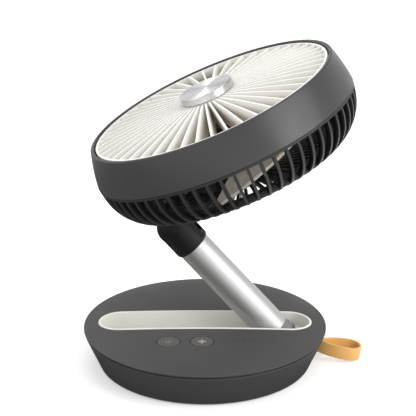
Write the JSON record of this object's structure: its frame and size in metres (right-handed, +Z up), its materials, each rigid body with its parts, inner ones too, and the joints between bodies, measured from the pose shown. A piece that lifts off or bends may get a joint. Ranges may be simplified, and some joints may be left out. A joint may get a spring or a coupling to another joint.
{
  "type": "portable fan",
  "caption": "Folding portable fan: a round battery base, an arm tube that folds flat into a slot, and a tilting drum-shaped head with a swirled front grille.",
  "frame": {"origin": "centre of the face that the base rests on", "axes": "+Z up; +X along the slot towards the arm's pivot and the strap; -Y the side with the buttons"},
  "size_m": [0.2096, 0.1998, 0.242],
  "materials": {
    "shell_dark_grey": "fine satin, dark grey",
    "cover_grey": "fine satin, mid dark grey",
    "button_grey": "fine satin, with a light printed symbol",
    "liner_white": "satin off-white",
    "pad_rubber": "matt",
    "bracket_steel": "pressed sheet",
    "fastener_steel": "plain",
    "washer_plastic": "natural",
    "cell_wrap": "shrink wrap",
    "tray_black": "plain",
    "board_green": "lacquered",
    "lamp_white": "clear, frosted end",
    "socket_steel": "bright",
    "strap_leather": "smooth tan grain",
    "tube_aluminium": "brushed along its length",
    "collar_black": "satin black",
    "lead_black": "matt sleeve",
    "shroud_grey": "fine satin, mid dark grey",
    "grille_white": "satin warm white",
    "hub_aluminium": "spin-brushed",
    "grille_black": "satin black",
    "coil_iron": "plain",
    "can_steel": "plain",
    "blade_white": "smooth"
  },
  "bodies": {
    "base": {"base_lower_shell": "shell_dark_grey", "base_top_cover": "cover_grey", "slot_liner": "liner_white", "foot_pad": "pad_rubber", "pivot_brackets": "bracket_steel", "pivot_pin": "fastener_steel", "pivot_nut": "fastener_steel", "pivot_washers": "washer_plastic", "battery_cells": "cell_wrap", "battery_tray": "tray_black", "control_board": "board_green", "board_screws": "fastener_steel", "button_switches": "tray_black", "status_leds": "lamp_white", "light_pipes": "lamp_white", "charge_board": "board_green", "charge_socket": "socket_steel", "base_screws": "fastener_steel", "strap_loop": "strap_leather", "strap_clamp": "bracket_steel"},
    "arm": {"arm_foot": "collar_black", "arm_tube": "tube_aluminium", "arm_collar": "collar_black", "arm_lead": "lead_black", "tilt_pin_caps": "collar_black"},
    "tilt_pin": {"tilt_pin": "fastener_steel", "tilt_washers": "washer_plastic"},
    "head": {"neck_bracket": "collar_black", "neck_screws": "fastener_steel", "front_shroud": "shroud_grey", "front_grille": "grille_white", "hub_cap": "hub_aluminium", "rear_grille": "grille_black", "head_screws": "fastener_steel", "motor_mount": "grille_black", "motor_screws": "fastener_steel", "motor_board": "board_green", "motor_stator": "coil_iron", "motor_bearings": "fastener_steel"},
    "rotor": {"fan_blades": "blade_white", "rotor_can": "can_steel", "rotor_magnet": "coil_iron", "motor_shaft": "fastener_steel", "blade_nut": "fastener_steel"},
    "power_button": {"power_button": "button_grey"},
    "speed_button": {"speed_button": "button_grey"}
  },
  "joints": [
    {"name": "arm_fold", "type": "hinge", "parent": "base", "child": "arm", "pos_m": [0.0571, 0, 0.019], "axis": [0, -1, 0], "range_deg": [-41.7, 48.3]},
    {"name": "head_level", "type": "hinge", "parent": "arm", "child": "tilt_pin", "pos_m": [-0.022, 0, 0.10778], "axis": [0, 1, 0], "range_deg": [-42, 48.6]},
    {"name": "head_tilt", "type": "hinge", "parent": "tilt_pin", "child": "head", "pos_m": [-0.022, 0, 0.10778], "axis": [0, 1, 0], "range_deg": [-66.9, 23.1]},
    {"name": "blade_spin", "type": "hinge", "parent": "head", "child": "rotor", "pos_m": [0.00358, 0, 0.20533], "axis": [-0.3923, 0, 0.9198], "continuous": true},
    {"name": "power_button_press", "type": "slide", "parent": "base", "child": "power_button", "axis": [0, 0, -1], "range_m": [0, 0.0006], "stiffness_N_per_m": 900},
    {"name": "speed_button_press", "type": "slide", "parent": "base", "child": "speed_button", "axis": [0, 0, -1], "range_m": [0, 0.0006], "stiffness_N_per_m": 900}
  ],
  "couplings": [
    {"joint": "head_level", "follows": "arm_fold", "ratio": 1}
  ]
}
